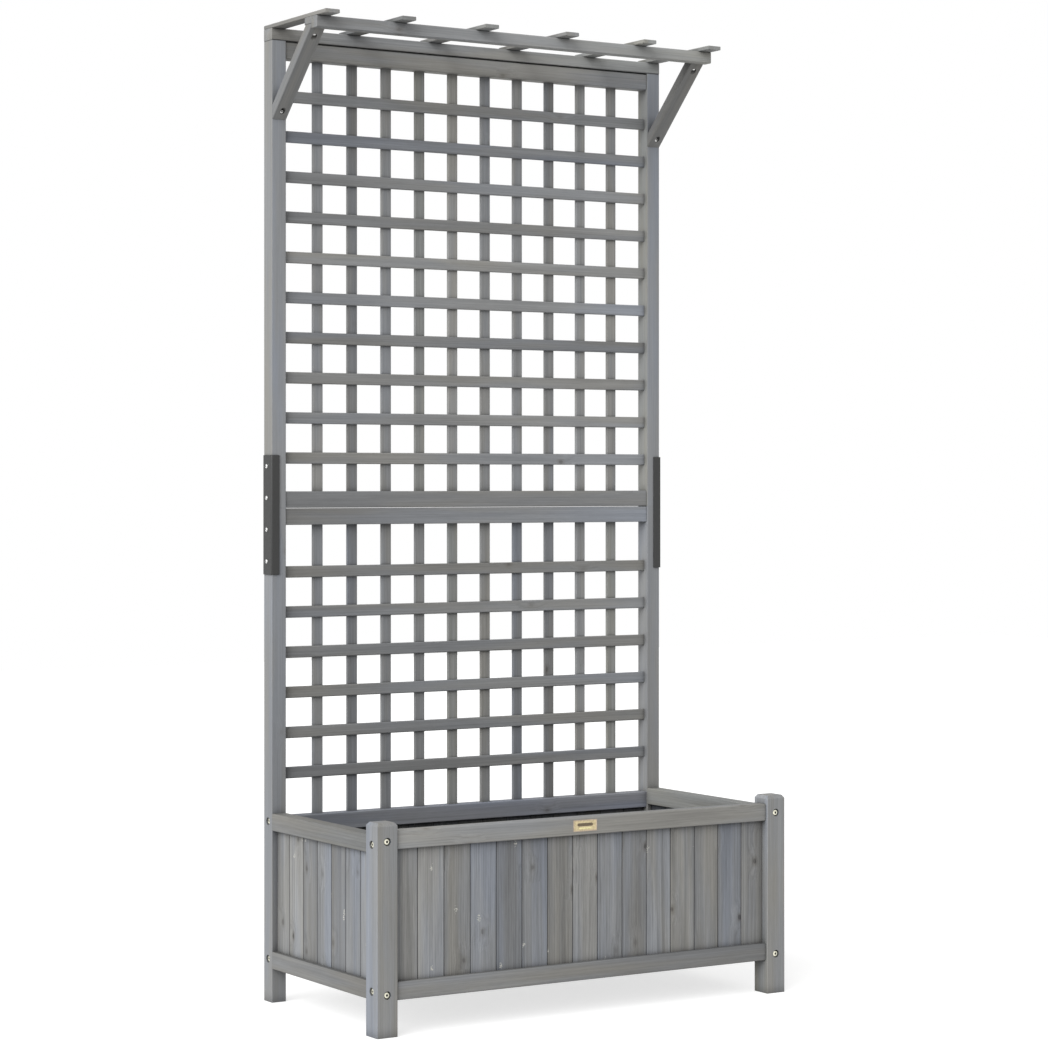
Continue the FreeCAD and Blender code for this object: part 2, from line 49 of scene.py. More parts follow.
LEFTWARDS = (-1, 0, 0)

# ---- Camera: the photograph's own view, level, with its horizon above the middle ------

CAMERA_PLACE = (-2.80465, -4.48732, 0.94286)
CAMERA_YAW = math.radians(31.98)  # to the right of straight ahead
CAMERA_LENS = 99.24
CAMERA_SENSOR = 36.0
CAMERA_SHIFT_Y = -0.0408
CAMERA_REACH = 60.0

# ---- Sizes of the solids, and of the fasteners drawn over them, in metres --------------

UPRIGHT_COUNT = 10
FRONT_BOARD_COUNT = 15
SIDE_BOARD_COUNT = 7
FLOOR_SLAT_COUNT = 13
SLAT_WIDTH = 0.021
BOLT_RECESS_DEPTH = 0.005
BOLT_HEAD = 0.012
BOLT_HEAD_HEIGHT = 0.0034
BOLT_SOCKET = 0.0042
BOLT_SOCKET_DEPTH = 0.0024
BOLT_SHANK = 0.0045
BOLT_LENGTH = 0.058
FORWARD_BOLT_LEVELS = (0.33195, 0.07185)
SIDEWAYS_BOLT_LEVELS = (0.32645, 0.07735)
SCREW_HEAD = 0.008
SCREW_CROSS = 0.0042
SCREW_CROSS_DEPTH = 0.0012
SCREW_SHANK = 0.0036
BRACKET_HEAD_HEIGHT = 0.002
BRACKET_SCREW_LENGTH = 0.020
BRACKET_SCREW_LEVELS = (0.79775, 0.85525, 0.91275, 0.97025)
BRACE_HEAD_HEIGHT = 0.003
BRACE_SCREW_LENGTH = 0.024
BRACE_FOOT_SCREW = (0.176, 1.6116)  # Y, Z of the seat
BRACE_HEAD_SCREW = (0.0487, 1.7355)

# ---- Stain tones, linear ---------------------------------------------------------------

HUES = {
    "warm": (1.0, 1.004, 0.955),
    "grey": (1.0, 1.0, 0.985),
    "cool": (0.985, 1.0, 1.02),
    "blue": (0.955, 1.0, 1.085),
    "slate": (0.95, 1.0, 1.15),
}
SHADES = {
    "dim": 0.175, "deep": 0.19, "dark": 0.205, "dull": 0.22, "soft": 0.235, "mid": 0.25,
    "fair": 0.265, "light": 0.28, "pale": 0.30, "bright": 0.32, "chalk": 0.345,
}

# One tone for each board or slat, from the left, from the front or from the top. The floor
# repeats its few. "a > b" drifts along the piece from its left, front or lower end.
FRONT_TONES = (
    "cool light, cool bright, grey soft, blue fair, blue dark, blue soft, grey dull, cool light, "
    "blue fair, cool dark, cool fair, grey mid, grey dull, blue dull, cool soft"
).split(", ")
SIDE_TONES = "blue soft, blue soft, cool deep, blue mid, cool deep, cool fair, cool soft".split(", ")
UPPER_UPRIGHT_TONES = (
    "cool fair, cool deep, cool soft, warm soft, grey light, cool soft, cool mid, cool dark, "
    "grey light, grey mid"
).split(", ")
LOWER_UPRIGHT_TONES = (
    "cool soft, blue deep, cool soft, grey dull, warm mid, grey soft, blue dark, cool deep, "
    "grey fair, warm fair"
).split(", ")
LOWER_SLAT_TONES = (
    "grey dark > grey dull, cool dark > cool light, grey dark > cool dull, grey dark > blue fair, "
    "cool dull > grey soft, blue deep > cool soft"
).split(", ")
UPPER_SLAT_TONES = (
    "cool soft > grey mid, blue dark > blue mid, blue dark > grey pale, grey dark > grey fair, "
    "grey light > grey light, cool mid > blue pale, cool dull > cool dark, grey dull > cool fair, "
    "cool soft > cool pale, grey soft > cool pale"
).split(", ")
# The first four rafters darken towards the back, a painted shade that stands for the shade on their
# undersides.
RAFTER_TONES = (
    "grey fair > grey deep, warm dull > grey dim, warm fair > grey dark, grey fair > grey deep, "
    "warm pale, warm fair"
).split(", ")
FLOOR_TONES = "grey soft, warm soft, grey mid, grey dull, blue dark".split(", ")


def stain(name):
    """A colour from the words for its hue and its shade."""
    hue, shade = name.split()
    return (*[channel * SHADES[shade] for channel in HUES[hue]], 1.0)


# ---- Node tree helpers ------------------------------------------------------------------

def add(tree, kind, inputs=None, **settings):
    """A shader node with its settings, and its inputs set to values or linked to sockets."""
    node = tree.nodes.new(kind)
    for name, value in settings.items():
        setattr(node, name, value)
    for key, value in (inputs or {}).items():
        if isinstance(value, bpy.types.NodeSocket):
            tree.links.new(value, node.inputs[key])
        else:
            node.inputs[key].default_value = value
    return node


def calc(tree, operation, *values, clamp=False):
    node = add(tree, "ShaderNodeMath", dict(enumerate(values)), operation=operation, use_clamp=clamp)
    return node.outputs[0]


def vector_calc(tree, operation, *values):
    return add(tree, "ShaderNodeVectorMath", dict(enumerate(values)), operation=operation).outputs[0]


def dot(tree, first, second):
    """How far two directions agree, from -1 to 1."""
    node = add(tree, "ShaderNodeVectorMath", {0: first, 1: second}, operation="DOT_PRODUCT")
    return node.outputs["Value"]


def separate(tree, colour, channel):
    return add(tree, "ShaderNodeSeparateColor", {0: colour}).outputs[channel]


def grey_of(tree, level):
    return add(tree, "ShaderNodeCombineColor", {0: level, 1: level, 2: level}).outputs[0]


def blend(tree, kind, amount, first, second):
    node = add(tree, "ShaderNodeMix", {0: amount, 6: first, 7: second}, data_type="RGBA", blend_type=kind)
    return node.outputs[2]


def ramp_value(tree, value, low, high, start=0.0, end=1.0):
    """Map low..high to start..end with soft ends."""
    inputs = {0: value, 1: low, 2: high, 3: start, 4: end}
    return add(tree, "ShaderNodeMapRange", inputs, interpolation_type="SMOOTHSTEP").outputs[0]


def noise(tree, vector, scale, detail=3.0, roughness=0.55):
    stretched = vector_calc(tree, "MULTIPLY", vector, scale)
    inputs = {"Vector": stretched, "Scale": 1.0, "Detail": detail, "Roughness": roughness}
    return add(tree, "ShaderNodeTexNoise", inputs)


def swing(tree, value, amount):
    """A noise about zero, as wide as the amount."""
    return calc(tree, "MULTIPLY", calc(tree, "SUBTRACT", value, 0.5), amount)


# ---- Figure of the wood, with its grain along X -----------------------------------------

WOOD_INPUTS = {
    "Place": "NodeSocketVector",
    "Tone": "NodeSocketColor",
    "Knots": "NodeSocketFloat",
    "Contrast": "NodeSocketFloat",
    "Chips": "NodeSocketFloat",
}
WOOD_OUTPUTS = {"Color": "NodeSocketColor", "Roughness": "NodeSocketFloat", "Height": "NodeSocketFloat"}
KNOT_CELLS = (12.0, 19.0, 0.0)  # to a metre, along and across the grain
CHIP_CELLS = (22.0, 34.0, 0.0)
RING_TURNS = 1500.0  # radians to a metre from the pith
WARM_STREAKS = (1.024, 1.0, 0.95, 1)
COOL_STREAKS = (0.98, 1.0, 1.04, 1)
KNOT_BROWN = (0.93, 0.88, 0.82, 1)
BARE_WOOD = (0.60, 0.59, 0.54, 1)


def scattered_cells(tree, flat, cells):
    """Cells of random shape over a board: the distance to a cell's own point, and its colour."""
    inputs = {"Vector": vector_calc(tree, "MULTIPLY", flat, cells), "Scale": 1.0}
    return add(tree, "ShaderNodeTexVoronoi", inputs, voronoi_dimensions="2D").outputs


def knot_marks(tree, place, flat, share):
    """A knot in a share of the cells: the swelling of the grain, the brown halo and the dark eye."""
    cell = scattered_cells(tree, flat, KNOT_CELLS)
    ragged = noise(tree, place, (90.0, 160.0, 160.0), 2.0).outputs[0]
    reach = calc(tree, "ADD", cell["Distance"], swing(tree, ragged, 0.10))
    chosen = calc(tree, "LESS_THAN", separate(tree, cell["Color"], 0), share)
    boldness = calc(tree, "ADD", 0.35, separate(tree, cell["Color"], 2))
    depth = calc(tree, "MULTIPLY", chosen, boldness)
    swell = calc(tree, "MULTIPLY", ramp_value(tree, reach, 0.50, 0.05), chosen)
    halo = calc(tree, "MULTIPLY", ramp_value(tree, reach, 0.17, 0.04), depth)
    eye = calc(tree, "MULTIPLY", ramp_value(tree, reach, 0.075, 0.03), depth)
    return swell, halo, eye


def chip_marks(tree, place, flat, share):
    """A ragged chip in a share of the cells, where the stain has come away."""
    cell = scattered_cells(tree, flat, CHIP_CELLS)
    torn = noise(tree, place, (380.0, 380.0, 380.0), 2.0).outputs[0]
    reach = calc(tree, "ADD", cell["Distance"], swing(tree, torn, 0.75))
    chosen = calc(tree, "LESS_THAN", separate(tree, cell["Color"], 1), share)
    return calc(tree, "MULTIPLY", ramp_value(tree, reach, 0.08, 0.0), chosen)


def bend_grain(tree, place, swell):
    """The grain flows around the knots and wanders a little elsewhere."""
    drift = noise(tree, place, (2.0, 9.0, 9.0), 2.0)
    centred = vector_calc(tree, "SUBTRACT", drift.outputs["Color"], (0.5, 0.5, 0.5))
    wander = vector_calc(tree, "MULTIPLY", centred, (0.0, 0.008, 0.008))
    aside = calc(tree, "MULTIPLY", swell, 0.004)
    pushed = add(tree, "ShaderNodeCombineXYZ", {1: aside, 2: aside}).outputs[0]
    return vector_calc(tree, "ADD", vector_calc(tree, "ADD", place, wander), pushed)


def late_wood(tree, bent, band):
    """Thin lines of growth rings about a pith that lies off to one side of the board."""
    spread = vector_calc(tree, "MULTIPLY", bent, (0.0, 1.0, 1.0))
    radius = add(tree, "ShaderNodeVectorMath", {0: spread}, operation="LENGTH").outputs["Value"]
    from_pith = calc(tree, "MULTIPLY", radius, RING_TURNS)
    turns = calc(tree, "ADD", from_pith, calc(tree, "MULTIPLY", band, 7.0))
    wave = calc(tree, "ADD", calc(tree, "MULTIPLY", calc(tree, "SINE", turns), 0.5), 0.5)
    return calc(tree, "POWER", wave, 4.0)


def stained_wood_group():
    """Colour, roughness and relief of grey-stained softwood."""
    group = bpy.data.node_groups.new("stained_wood", "ShaderNodeTree")
    for name, kind in WOOD_INPUTS.items():
        group.interface.new_socket(name=name, in_out="INPUT", socket_type=kind)
    for name, kind in WOOD_OUTPUTS.items():
        group.interface.new_socket(name=name, in_out="OUTPUT", socket_type=kind)
    given = group.nodes.new("NodeGroupInput").outputs
    place = given["Place"]

    # The two directions across the grain are added, so one pattern of cells covers every face.
    parts = add(group, "ShaderNodeSeparateXYZ", {0: place}).outputs
    across = calc(group, "ADD", parts[1], parts[2])
    flat = add(group, "ShaderNodeCombineXYZ", {0: parts[0], 1: across}).outputs[0]
    swell, halo, eye = knot_marks(group, place, flat, given["Knots"])
    worn = chip_marks(group, place, flat, given["Chips"])
    bent = bend_grain(group, place, swell)

    fibre = noise(group, bent, (45.0, 1500.0, 1500.0), 2.0).outputs[0]
    streak = noise(group, bent, (4.0, 330.0, 330.0), 4.0, 0.68).outputs[0]
    band = noise(group, bent, (1.6, 75.0, 75.0), 4.0, 0.6).outputs[0]
    patch = noise(group, bent, (3.5, 30.0, 30.0), 4.0, 0.6).outputs[0]
    hue = noise(group, bent, (2.4, 26.0, 26.0), 2.0).outputs[0]
    rings = late_wood(group, bent, band)

    # How much lighter or darker each part of the figure makes the tone.
    shift = swing(group, streak, 0.62)
    for value, amount in ((band, 0.52), (fibre, 0.30), (patch, 0.42)):
        shift = calc(group, "ADD", shift, swing(group, value, amount))
    for mark, amount in ((rings, 0.06), (halo, 0.11), (eye, 0.18)):
        shift = calc(group, "SUBTRACT", shift, calc(group, "MULTIPLY", mark, amount))
    light = calc(group, "ADD", 1.03, calc(group, "MULTIPLY", shift, given["Contrast"]))

    hues = blend(group, "MIX", ramp_value(group, hue, 0.36, 0.64), WARM_STREAKS, COOL_STREAKS)
    stained = blend(group, "MULTIPLY", 1.0, given["Tone"], hues)
    shaded = blend(group, "MULTIPLY", 1.0, stained, grey_of(group, light))
    browning = calc(group, "MULTIPLY", halo, 0.5, clamp=True)
    knotted = blend(group, "MULTIPLY", browning, shaded, KNOT_BROWN)
    chipped = blend(group, "MIX", worn, knotted, BARE_WOOD)

    height = calc(group, "ADD", calc(group, "MULTIPLY", streak, 0.7), calc(group, "MULTIPLY", fibre, 0.5))
    height = calc(group, "SUBTRACT", height, calc(group, "MULTIPLY", eye, 0.5))
    rough = calc(group, "ADD", 0.56, calc(group, "MULTIPLY", streak, 0.22))
    out = group.nodes.new("NodeGroupOutput")
    group.links.new(chipped, out.inputs["Color"])
    group.links.new(rough, out.inputs["Roughness"])
    group.links.new(height, out.inputs["Height"])
    return group


WOOD = stained_wood_group()

# ---- Wood of one piece, or of a row of boards --------------------------------------------

# Each piece shows another place in the figure: its seed gives the distance along the grain, and
# picks one of a few distances across it.
SEED_STEP = 1.37
SEED_SIDES = (7, 0.013, 0.021)  # number of distances, step, first distance
SEED_DEPTHS = (5, 0.009, 0.034)
BOARD_STEP = 7.31  # from one board of a row to the next, along the grain
BOARD_SIDE_STEP = 0.017
JOINT_SHADE = 0.42
SEAM_SHADE = 0.28
SEAM_EDGES = (0.0006, 0.0020)  # metres from a butt joint where its line is darkest and where it ends
# Painted shade in corners and crevices: how far it reaches, and the colour's share where it is deepest
CORNER_SHADE_REACH = 0.028
CORNER_PAINTED_SHADE = 0.36
ARRIS_RADIUS = 0.0012
ARRIS_COLOUR = (0.40, 0.40, 0.39, 1)
RELIEF_DEPTH = 0.0006
INSIDE_PAINTED_SHADE = 0.28  # painted shade of the box's inner faces, which lie in shade

Row = namedtuple("Row", "axis start pitch count joint")  # joint is half the width of the dark line


def row_of(node, axis, count, joint=0.0):
    """Boards that share a node's length equally."""
    low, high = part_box(node)
    return Row(axis, low[axis], (high[axis] - low[axis]) / count, count, joint)


def figure_start(seed):
    aside = [first + step * (seed % number) for number, step, first in (SEED_SIDES, SEED_DEPTHS)]
    return (seed * SEED_STEP, *aside)


def grain_turn(direction):
    """The turn that takes a direction in the model onto X."""
    return Vector(direction).rotation_difference(Vector(ALONG_X)).to_euler("XYZ")


def colour_ramp(tree, share, stops, interpolation="LINEAR"):
    """Stain tones at places between 0 and 1."""
    ramp = add(tree, "ShaderNodeValToRGB", {0: share})
    ramp.color_ramp.interpolation = interpolation
    elements = ramp.color_ramp.elements
    while len(elements) < len(stops):
        elements.new(1.0)
    for element, (place, name) in zip(elements, stops):
        element.position = place
        element.color = stain(name)
    return ramp.outputs[0]


def board_row(tree, where, row, tones):
    """For boards side by side: a jump in the figure, a tone, the shade of the joint or None, and
    the board's place in the row from 0 to 1."""
    parts = add(tree, "ShaderNodeSeparateXYZ", {0: where}).outputs
    steps = calc(tree, "DIVIDE", calc(tree, "SUBTRACT", parts[row.axis], row.start), row.pitch)
    number = calc(tree, "FLOOR", steps)
    hop = {0: calc(tree, "MULTIPLY", number, BOARD_STEP), 2: calc(tree, "MULTIPLY", number, BOARD_SIDE_STEP)}
    jump = add(tree, "ShaderNodeCombineXYZ", hop).outputs[0]
    share = calc(tree, "DIVIDE", calc(tree, "ADD", number, 0.5), row.count)
    stops = [(index / row.count, tones[index % len(tones)]) for index in range(row.count)]
    tone = colour_ramp(tree, share, stops, "CONSTANT")
    if not row.joint:
        return jump, tone, None, share
    from_joint = calc(tree, "ABSOLUTE", calc(tree, "SUBTRACT", steps, calc(tree, "ROUND", steps)))
    half = row.joint / row.pitch
    shade = ramp_value(tree, from_joint, half * 0.55, half, JOINT_SHADE, 1.0)
    return jump, tone, shade, share


def piece_tone(tree, where, node, grain, tones):
    """One tone, or tones that drift along the piece from its low end to its high one."""
    if ">" not in tones:
        return stain(tones)
    low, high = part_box(node)
    axis = max(range(3), key=lambda index: abs(grain[index]))
    parts = add(tree, "ShaderNodeSeparateXYZ", {0: where}).outputs
    share = add(tree, "ShaderNodeMapRange", {0: parts[axis], 1: low[axis], 2: high[axis]}).outputs[0]
    names = tones.split(" > ")
    stops = [(index / (len(names) - 1), name) for index, name in enumerate(names)]
    return colour_ramp(tree, share, stops)


def turned_to(tree, normal, direction, elsewhere=0.0, there=1.0):
    """One value on the faces turned to a direction, and another on the rest."""
    return ramp_value(tree, dot(tree, normal, direction), 0.5, 0.8, elsewhere, there)


def face_shade(tree, where, normal, grain, painted_shade_face, seam):
    """Paler end grain, painted shade in the corners and on one face, and the line of a butt joint."""
    along_grain = calc(tree, "ABSOLUTE", dot(tree, normal, Vector(grain).normalized()))
    end_grain = ramp_value(tree, along_grain, 0.6, 0.9, 1.0, 1.05)
    # Painted shade: ambient occlusion darkens the colour in corners, crevices and recesses.
    corner = add(tree, "ShaderNodeAmbientOcclusion", {"Distance": CORNER_SHADE_REACH}, samples=6).outputs["AO"]
    shade = calc(tree, "MULTIPLY", end_grain, ramp_value(tree, corner, 0.25, 0.92, CORNER_PAINTED_SHADE, 1.0))
    # Painted shade: the faces turned one way are darker.
    if painted_shade_face:
        direction, painted_shade_share = painted_shade_face
        shade = calc(tree, "MULTIPLY", shade, turned_to(tree, normal, direction, 1.0, painted_shade_share))
    if seam:
        axis, place = seam
        parts = add(tree, "ShaderNodeSeparateXYZ", {0: where}).outputs
        away = calc(tree, "ABSOLUTE", calc(tree, "SUBTRACT", parts[axis], place))
        shade = calc(tree, "MULTIPLY", shade, ramp_value(tree, away, *SEAM_EDGES, SEAM_SHADE, 1.0))
    return shade


def wood(
    name, grain, seed, tones, row=None, knots=0.06, contrast=1.0, chips=(0.0, 0.0),
    own_face=None, painted_shade_face=None, seam=None,
):
    """A stained piece with its grain along a direction. A row holds boards of their own tones.

    Knots and chips are the shares of the cells that hold one. Chips are given for the first and
    the last board of a row. An own face (direction, tones) has tones of its own. A painted shade
    face (direction, share) is painted darker than the rest, as shade. A seam (axis, place) is a butt
    joint that shows as a thin dark line.
    """
    material = bpy.data.materials.new(name)
    material.use_nodes = True
    tree = material.node_tree
    shader = tree.nodes["Principled BSDF"]
    shader.inputs["Specular IOR Level"].default_value = 0.3
    where = add(tree, "ShaderNodeTexCoord").outputs["Object"]
    normal = add(tree, "ShaderNodeNewGeometry").outputs["True Normal"]
    turned = {"Vector": where, "Rotation": grain_turn(grain)}
    along = add(tree, "ShaderNodeVectorRotate", turned, rotation_type="EULER_XYZ").outputs[0]
    along = vector_calc(tree, "ADD", along, figure_start(seed))
    chipped = chips[0]
    joint_shade = None
    if row:
        jump, tone, joint_shade, share = board_row(tree, where, row, tones)
        along = vector_calc(tree, "ADD", along, jump)
        chipped = add(tree, "ShaderNodeMapRange", {0: share, 3: chips[0], 4: chips[1]}).outputs[0]
    else:
        tone = piece_tone(tree, where, name, grain, tones)
    if own_face:
        direction, own_tones = own_face
        own_tone = piece_tone(tree, where, name, grain, own_tones)
        tone = blend(tree, "MIX", turned_to(tree, normal, direction), tone, own_tone)
    given = {"Place": along, "Tone": tone, "Knots": knots, "Contrast": contrast, "Chips": chipped}
    figure = add(tree, "ShaderNodeGroup", given, node_tree=WOOD).outputs

    # An arris shows where the softened normal leaves the face's own. It is worn pale, but on boards
    # with dark joints the joint takes its place.
    soft = add(tree, "ShaderNodeBevel", {"Radius": ARRIS_RADIUS}, samples=4).outputs[0]
    shade = face_shade(tree, where, normal, grain, painted_shade_face, seam)
    surface = figure["Color"]
    if joint_shade is None:
        arris = ramp_value(tree, dot(tree, normal, soft), 0.995, 0.90, 0.0, 0.10)
        surface = blend(tree, "MIX", arris, surface, ARRIS_COLOUR)
    else:
        shade = calc(tree, "MULTIPLY", shade, joint_shade)
    colour = blend(tree, "MULTIPLY", 1.0, surface, grey_of(tree, shade))
    tree.links.new(colour, shader.inputs["Base Color"])
    relief = {"Strength": 0.35, "Distance": RELIEF_DEPTH, "Height": figure["Height"], "Normal": soft}
    tree.links.new(add(tree, "ShaderNodeBump", relief).outputs[0], shader.inputs["Normal"])
    tree.links.new(figure["Roughness"], shader.inputs["Roughness"])
    return material


# ---- Dress the wooden pieces -------------------------------------------------------------

def dress(name, material):
    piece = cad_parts[name]
    piece.data.materials.clear()
    piece.data.materials.append(material)
    return piece


# Seeds of each kind of piece, apart from each other so that no two show the same figure
FIRST_PIECE_SEED = 3
LEFT_BRACE_SEED = 61
RIGHT_BRACE_SEED = 67
FIRST_WALL_SEED = 71
FLOOR_SEED = 75
FIRST_UPRIGHT_SEED = 91

single_pieces = [
    ("front_leg_left", ALONG_Z, "grey fair"),
    ("front_leg_right", ALONG_Z, "grey fair"),
    ("rear_post_lower_left", ALONG_Z, "cool mid > cool mid > blue light"),
    ("rear_post_lower_right", ALONG_Z, "cool mid > cool mid > blue light"),
    ("rear_post_upper_left", ALONG_Z, "blue light"),
    ("rear_post_upper_right", ALONG_Z, "blue light"),
    ("front_top_rail", ALONG_X, "grey bright > grey fair > grey mid"),
    ("front_bottom_rail", ALONG_X, "cool mid > grey dull > grey dim"),
    ("side_top_rail_left", ALONG_Y, "warm dim > grey dark"),
    ("side_top_rail_right", ALONG_Y, "warm soft"),
    ("side_bottom_rail_left", ALONG_Y, "grey dim > grey dark"),
    ("side_bottom_rail_right", ALONG_Y, "grey soft"),
    ("back_bottom_rail", ALONG_X, "grey soft"),
    ("back_top_rail", ALONG_X, "blue deep > slate dull > slate mid"),
    ("front_floor_bearer", ALONG_X, "grey soft"),
    ("back_floor_bearer", ALONG_X, "grey dull"),
    ("lower_trellis_top_rail", ALONG_X, "cool deep > cool fair > blue pale"),
    ("upper_trellis_bottom_rail", ALONG_X, "grey dark > grey soft"),
    ("upper_trellis_top_rail", ALONG_X, "grey deep > grey light > cool light"),
    ("rear_beam", ALONG_X, "grey mid > grey light > warm bright"),
    ("front_beam", ALONG_X, "grey dull > grey bright > warm chalk"),
    ("roof_ledger", ALONG_X, "grey soft"),
]
single_pieces += [(f"lower_cross_slat_{n:02d}", ALONG_X, tone) for n, tone in enumerate(LOWER_SLAT_TONES, 1)]
single_pieces += [(f"upper_cross_slat_{n:02d}", ALONG_X, tone) for n, tone in enumerate(UPPER_SLAT_TONES, 1)]
single_pieces += [(f"rafter_{n}", ALONG_Y, tone) for n, tone in enumerate(RAFTER_TONES, 1)]
CONTRASTS = {"rear_post": 0.55, "front_leg": 0.8, "side": 1.1}  # of pieces whose names start so
OWN_FACES = {
    "front_leg_left": (LEFTWARDS, "blue fair"),
    # The right leg's left face is darker towards the bottom, a painted shade.
    "front_leg_right": (LEFTWARDS, "warm dark > blue bright"),
    "rear_post_upper_left": (LEFTWARDS, "grey fair"),
    "rear_post_upper_right": (LEFTWARDS, "warm fair"),
}
SEAMS = {
    "rear_post_upper_left": (2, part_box("rear_post_upper_left")[1][2]),
    "rear_post_upper_right": (2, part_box("rear_post_upper_right")[1][2]),
    "roof_ledger": (2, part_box("roof_ledger")[0][2]),
}
for seed, (name, grain, tones) in enumerate(single_pieces, FIRST_PIECE_SEED):
    contrast = next((value for start, value in CONTRASTS.items() if name.startswith(start)), 1.0)
    own_face, seam = OWN_FACES.get(name), SEAMS.get(name)
    dress(name, wood(name, grain, seed, tones, contrast=contrast, own_face=own_face, seam=seam))

low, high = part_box("brace_left")
brace_grain = (0, low[1] - high[1], high[2] - low[2])
braces = [
    ("brace_left", LEFT_BRACE_SEED, "grey soft", 0.8, 0.90),  # contrast, share of painted shade on the left face
    ("brace_right", RIGHT_BRACE_SEED, "grey dull", 0.6, 0.84),
]
for name, seed, tone, contrast, painted_shade_share in braces:
    painted_shade_face = (LEFTWARDS, painted_shade_share)
    dress(name, wood(name, brace_grain, seed, tone, knots=0.0, contrast=contrast, painted_shade_face=painted_shade_face))

# Tones, axis of the row, number of boards, direction inwards, half the width of the dark line
# between two boards, and the shares of chips at the low and the high end of the row
WALL_KNOTS = 0.36
WALL_CONTRAST = 1.6
walls = {
    "front_boards": (FRONT_TONES, 0, FRONT_BOARD_COUNT, (0, 1, 0), 0.0011, (0.14, 0.01)),
    "back_boards": (FRONT_TONES[::-1], 0, FRONT_BOARD_COUNT, (0, -1, 0), 0.0011, (0.03, 0.03)),
    "side_boards_left": (SIDE_TONES, 1, SIDE_BOARD_COUNT, (1, 0, 0), 0.0018, (0.04, 0.13)),
    "side_boards_right": (SIDE_TONES[::-1], 1, SIDE_BOARD_COUNT, (-1, 0, 0), 0.0018, (0.03, 0.03)),
}
for seed, (name, (tones, axis, count, inwards, joint, chips)) in enumerate(walls.items(), FIRST_WALL_SEED):
    row = row_of(name, axis, count, joint)
    # The inner faces of the walls get a painted shade.
    inner_painted_shade = (inwards, INSIDE_PAINTED_SHADE)
    looks = wood(name, ALONG_Z, seed, tones, row, WALL_KNOTS, WALL_CONTRAST, chips, painted_shade_face=inner_painted_shade)
    dress(name, looks)

floor_row = row_of("floor_slats", 0, FLOOR_SLAT_COUNT)
# The top of the floor gets a painted shade.
floor_painted_shade = (ALONG_Z, INSIDE_PAINTED_SHADE)
dress("floor_slats", wood("floor_slats", ALONG_Y, FLOOR_SEED, FLOOR_TONES, floor_row, painted_shade_face=floor_painted_shade))

uprights = {"lower_upright_slats": LOWER_UPRIGHT_TONES, "upper_upright_slats": UPPER_UPRIGHT_TONES}
for seed, (name, tones) in enumerate(uprights.items(), FIRST_UPRIGHT_SEED):
    low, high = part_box(name)
    pitch = (high[0] - low[0] - SLAT_WIDTH) / (UPRIGHT_COUNT - 1)
    row = Row(0, -UPRIGHT_COUNT / 2 * pitch, pitch, UPRIGHT_COUNT, 0.0)
    dress(name, wood(name, ALONG_Z, seed, tones, row))


# ---- Metal -------------------------------------------------------------------------------

def metal(name, base, roughness, metallic=1.0, grit=None):
    """A slightly uneven metal or coat. Grit (strength, scale) is the relief of its surface."""
    material = bpy.data.materials.new(name)
    material.use_nodes = True
    tree = material.node_tree
    shader = tree.nodes["Principled BSDF"]
    shader.inputs["Metallic"].default_value = metallic
    where = add(tree, "ShaderNodeTexCoord").outputs["Object"]
    coarse = noise(tree, where, (260.0, 260.0, 260.0), 3.0).outputs[0]
    darker = (*[channel * 0.82 for channel in base], 1.0)
    lighter = (*[min(1.0, channel * 1.12) for channel in base], 1.0)
    tint = blend(tree, "MIX", ramp_value(tree, coarse, 0.3, 0.7), darker, lighter)
    tree.links.new(tint, shader.inputs["Base Color"])
    rough = ramp_value(tree, coarse, 0.2, 0.8, roughness * 0.8, roughness * 1.25)
    tree.links.new(rough, shader.inputs["Roughness"])
    if grit:
        strength, scale = grit
        fine = noise(tree, where, (scale, scale, scale), 2.0).outputs[0]
        bump = add(tree, "ShaderNodeBump", {"Strength": strength, "Distance": 0.0002, "Height": fine})
        tree.links.new(bump.outputs[0], shader.inputs["Normal"])
    return material


POWDER_COAT = metal("black_powder_coat", (0.033, 0.0335, 0.0332), 0.55, 0.0, (0.35, 1400.0))
YELLOW_ZINC = metal("yellow_zinc", (0.86, 0.84, 0.69), 0.34)
BRIGHT_ZINC = metal("bright_zinc", (0.68, 0.68, 0.67), 0.30)
SOCKET_SHADE = metal("socket_shade", (0.05, 0.05, 0.045), 0.7, 0.0)
BRASS = metal("plate_brass", (0.47, 0.385, 0.30), 0.34, 1.0, (0.12, 700.0))
BRASS_FIELD = metal("plate_field", (0.56, 0.47, 0.29), 0.30, 1.0, (0.15, 1600.0))
PLATE_INK = metal("plate_ink", (0.16, 0.125, 0.085), 0.45, 0.6)
PLATE_LINE = metal("plate_line", (0.80, 0.74, 0.40), 0.30)


# ---- Mesh helpers ------------------------------------------------------------------------

def skin(mesh, loops, smooth=False, slot=0):
    """Walls over loops of corners, with a face at either end. Gives the last face."""
    count = len(loops[0])
    for lower, upper in zip(loops, loops[1:]):
        for index in range(count):
            after = (index + 1) % count
            wall = mesh.faces.new((lower[index], lower[after], upper[after], upper[index]))
            wall.smooth = smooth
            wall.material_index = slot
    first = mesh.faces.new(loops[0][::-1])
    last = mesh.faces.new(loops[-1])
    first.material_index = slot
    last.material_index = slot
    return last


def new_piece(name, mesh, materials):
    bmesh.ops.recalc_face_normals(mesh, faces=mesh.faces)
    data = bpy.data.meshes.new(name)
    mesh.to_mesh(data)
    mesh.free()
    for material in materials:
        data.materials.append(material)
    piece = bpy.data.objects.new(name, data)
    bpy.context.collection.objects.link(piece)
    return piece


# ---- Splice brackets ---------------------------------------------------------------------

BRACKET_ROUNDING = 0.0004


